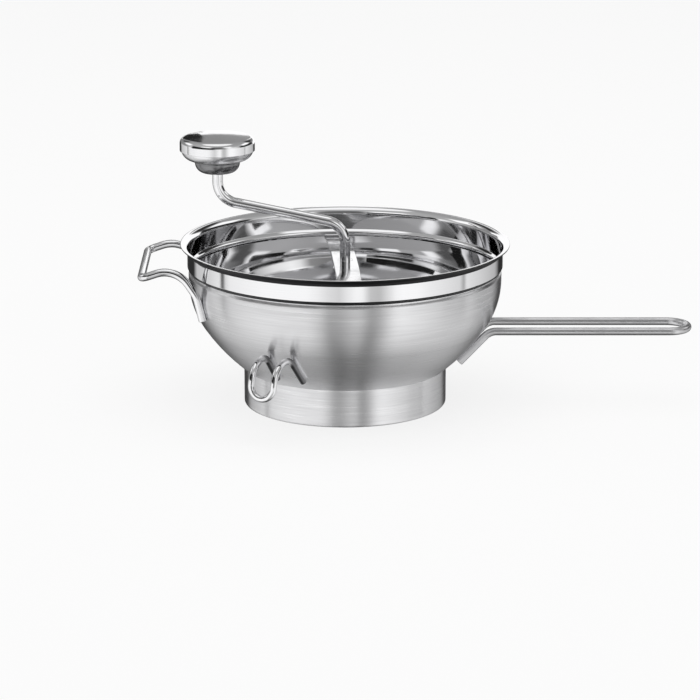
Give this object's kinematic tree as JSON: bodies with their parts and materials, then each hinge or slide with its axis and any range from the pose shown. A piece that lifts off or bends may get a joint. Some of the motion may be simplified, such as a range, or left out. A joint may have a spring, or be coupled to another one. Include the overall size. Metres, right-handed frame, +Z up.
{
  "type": "food mill",
  "caption": "Steel food mill: rounded sheet bowl on a ring foot with a sieve, wire handles and pot hooks, a bowed crossbar, and a bent crank that turns a sprung press blade.",
  "frame": {"origin": "centre of the foot ring on the bowl's axis, at the plane the mill stands on", "axes": "+Z up along the crank's axis, +X along the long handle, the pot hooks towards -Y and +Y"},
  "size_m": [0.4206, 0.256, 0.208],
  "materials": {
    "satin_steel": "brushed outside, polished inside and on the rim band",
    "polished_steel": "mirror polished",
    "spring_steel": "drawn wire",
    "bearing_plastic": "plain"
  },
  "bodies": {
    "bowl_body": {"bowl": "satin_steel", "foot_ring": "satin_steel", "sieve_disc": "polished_steel", "sieve_bush": "polished_steel", "long_handle": "polished_steel", "helper_handle": "polished_steel", "front_hook": "polished_steel", "rear_hook": "polished_steel"},
    "bar_body": {"crossbar": "polished_steel", "crossbar_bush": "polished_steel"},
    "washer_body": {"thrust_washer": "polished_steel", "pressure_spring": "spring_steel"},
    "crank_body": {"crank_rod": "polished_steel", "spring_seat": "polished_steel", "seat_pin": "spring_steel", "press_blade": "polished_steel", "blade_hub": "polished_steel", "hub_pin": "spring_steel", "knob_clip": "spring_steel", "knob_stop": "spring_steel"},
    "knob_body": {"knob_base": "polished_steel", "knob_cap": "polished_steel", "knob_bush": "bearing_plastic"}
  },
  "joints": [
    {"name": "bar_turn", "type": "hinge", "parent": "bowl_body", "child": "bar_body", "pos_m": [0, 0, 0.11], "axis": [0, 0, 1], "continuous": true},
    {"name": "crank_turn", "type": "hinge", "parent": "bar_body", "child": "washer_body", "pos_m": [0, 0, 0.106], "axis": [0, 0, -1], "continuous": true},
    {"name": "press_lift", "type": "slide", "parent": "washer_body", "child": "crank_body", "axis": [0, 0, 1], "range_m": [0, 0.006], "stiffness_N_per_m": 2000, "springref_m": -0.01, "deforming": ["pressure_spring"]},
    {"name": "knob_spin", "type": "hinge", "parent": "crank_body", "child": "knob_body", "pos_m": [-0.0964, 0, 0.19], "axis": [0, 0, 1], "continuous": true}
  ]
}
